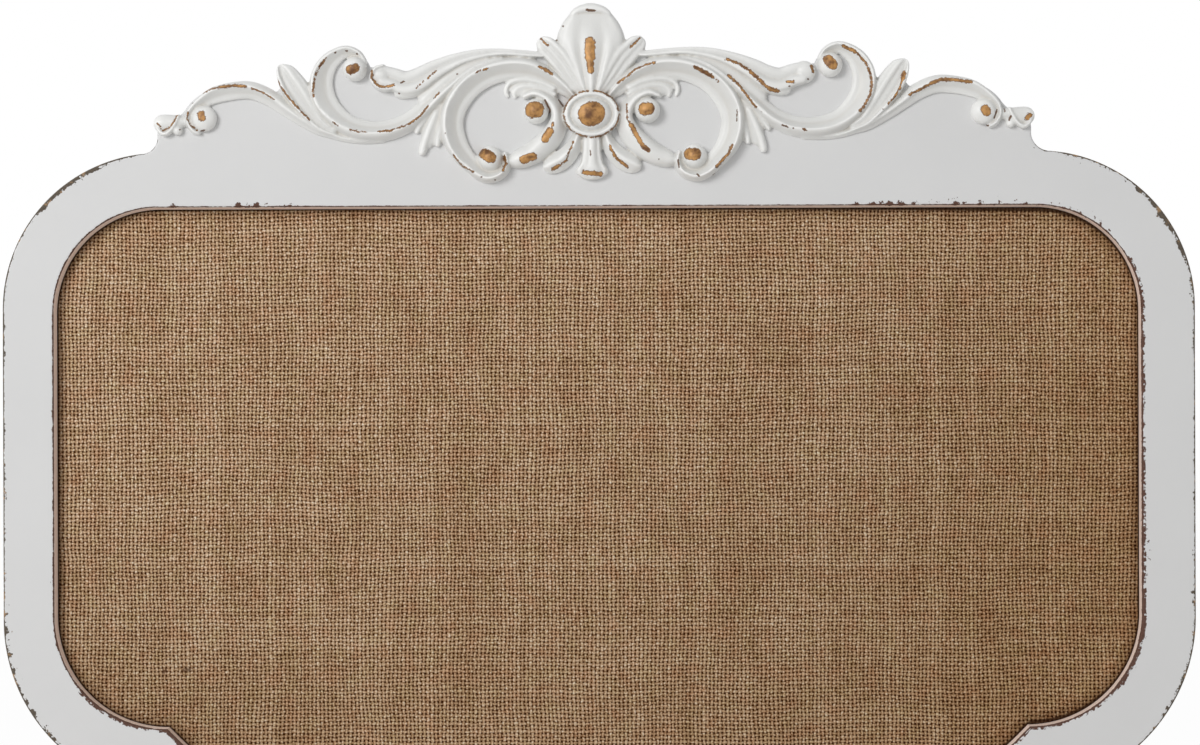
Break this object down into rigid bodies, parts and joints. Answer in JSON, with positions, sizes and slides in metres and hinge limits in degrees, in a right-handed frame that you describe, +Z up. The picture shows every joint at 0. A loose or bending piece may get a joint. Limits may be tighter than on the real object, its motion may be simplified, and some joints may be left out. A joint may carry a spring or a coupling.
{
  "type": "fabric pin board",
  "caption": "Wall-hung pin board: a painted scroll-edged board with a cast scroll ornament on its crest frames a burlap-covered cork panel held by turn buttons, and hangs on ring hangers.",
  "frame": {"origin": "on the wall's plane, midway between the two places where wall hooks carry the hanger rings, and level with them", "axes": "+X to the right seen from the front, along the board's width; +Y into the wall, so the front faces -Y; +Z up"},
  "size_m": [0.656, 0.0383, 0.4539],
  "materials": {
    "board_paint": "satin white paint, sanded through to brown along the edges",
    "casting_paint": "white paint over gold and brown, rubbed through on the high places",
    "burlap": "natural plain-woven burlap",
    "cork": "fine granulated cork",
    "hardboard": "brown hardboard",
    "plated_steel": "bright zinc plating",
    "rubber": "matte moulded rubber"
  },
  "bodies": {
    "board": {"frame_board": "board_paint", "crest_casting": "casting_paint", "burlap_cover": "burlap", "cork_sheet": "cork", "hardboard_backer": "hardboard", "turn_button_screw_top_left": "plated_steel", "turn_button_screw_top_right": "plated_steel", "turn_button_screw_bottom_left": "plated_steel", "turn_button_screw_bottom_right": "plated_steel", "turn_button_screw_left": "plated_steel", "turn_button_screw_right": "plated_steel", "hanger_strap_left": "plated_steel", "hanger_strap_right": "plated_steel", "hanger_screw_left_1": "plated_steel", "hanger_screw_left_2": "plated_steel", "hanger_screw_right_1": "plated_steel", "hanger_screw_right_2": "plated_steel", "casting_screw_1": "plated_steel", "casting_screw_2": "plated_steel", "casting_screw_3": "plated_steel", "casting_screw_4": "plated_steel", "wall_bumper_top_left": "rubber", "wall_bumper_top_right": "rubber", "wall_bumper_bottom_left": "rubber", "wall_bumper_bottom_right": "rubber"},
    "button_top_left": {"turn_button_top_left": "plated_steel"},
    "button_top_right": {"turn_button_top_right": "plated_steel"},
    "button_bottom_left": {"turn_button_bottom_left": "plated_steel"},
    "button_bottom_right": {"turn_button_bottom_right": "plated_steel"},
    "button_left": {"turn_button_left": "plated_steel"},
    "button_right": {"turn_button_right": "plated_steel"},
    "ring_left": {"hanger_ring_left": "plated_steel"},
    "ring_right": {"hanger_ring_right": "plated_steel"}
  },
  "joints": [
    {"name": "top_left_button_turn", "type": "hinge", "parent": "board", "child": "button_top_left", "pos_m": [-0.11, -0.005, -0.038], "axis": [0, 1, 0], "continuous": true},
    {"name": "top_right_button_turn", "type": "hinge", "parent": "board", "child": "button_top_right", "pos_m": [0.11, -0.005, -0.038], "axis": [0, 1, 0], "continuous": true},
    {"name": "bottom_left_button_turn", "type": "hinge", "parent": "board", "child": "button_bottom_left", "pos_m": [-0.11, -0.005, -0.381], "axis": [0, 1, 0], "continuous": true},
    {"name": "bottom_right_button_turn", "type": "hinge", "parent": "board", "child": "button_bottom_right", "pos_m": [0.11, -0.005, -0.381], "axis": [0, 1, 0], "continuous": true},
    {"name": "left_button_turn", "type": "hinge", "parent": "board", "child": "button_left", "pos_m": [-0.318, -0.005, -0.202], "axis": [0, 1, 0], "continuous": true},
    {"name": "right_button_turn", "type": "hinge", "parent": "board", "child": "button_right", "pos_m": [0.318, -0.005, -0.202], "axis": [0, 1, 0], "continuous": true},
    {"name": "left_ring_swing", "type": "hinge", "parent": "board", "child": "ring_left", "pos_m": [-0.17, -0.0033, -0.0145], "axis": [-1, 0, 0], "range_deg": [-5, 180]},
    {"name": "right_ring_swing", "type": "hinge", "parent": "board", "child": "ring_right", "pos_m": [0.17, -0.0033, -0.0145], "axis": [-1, 0, 0], "range_deg": [-5, 180]}
  ]
}
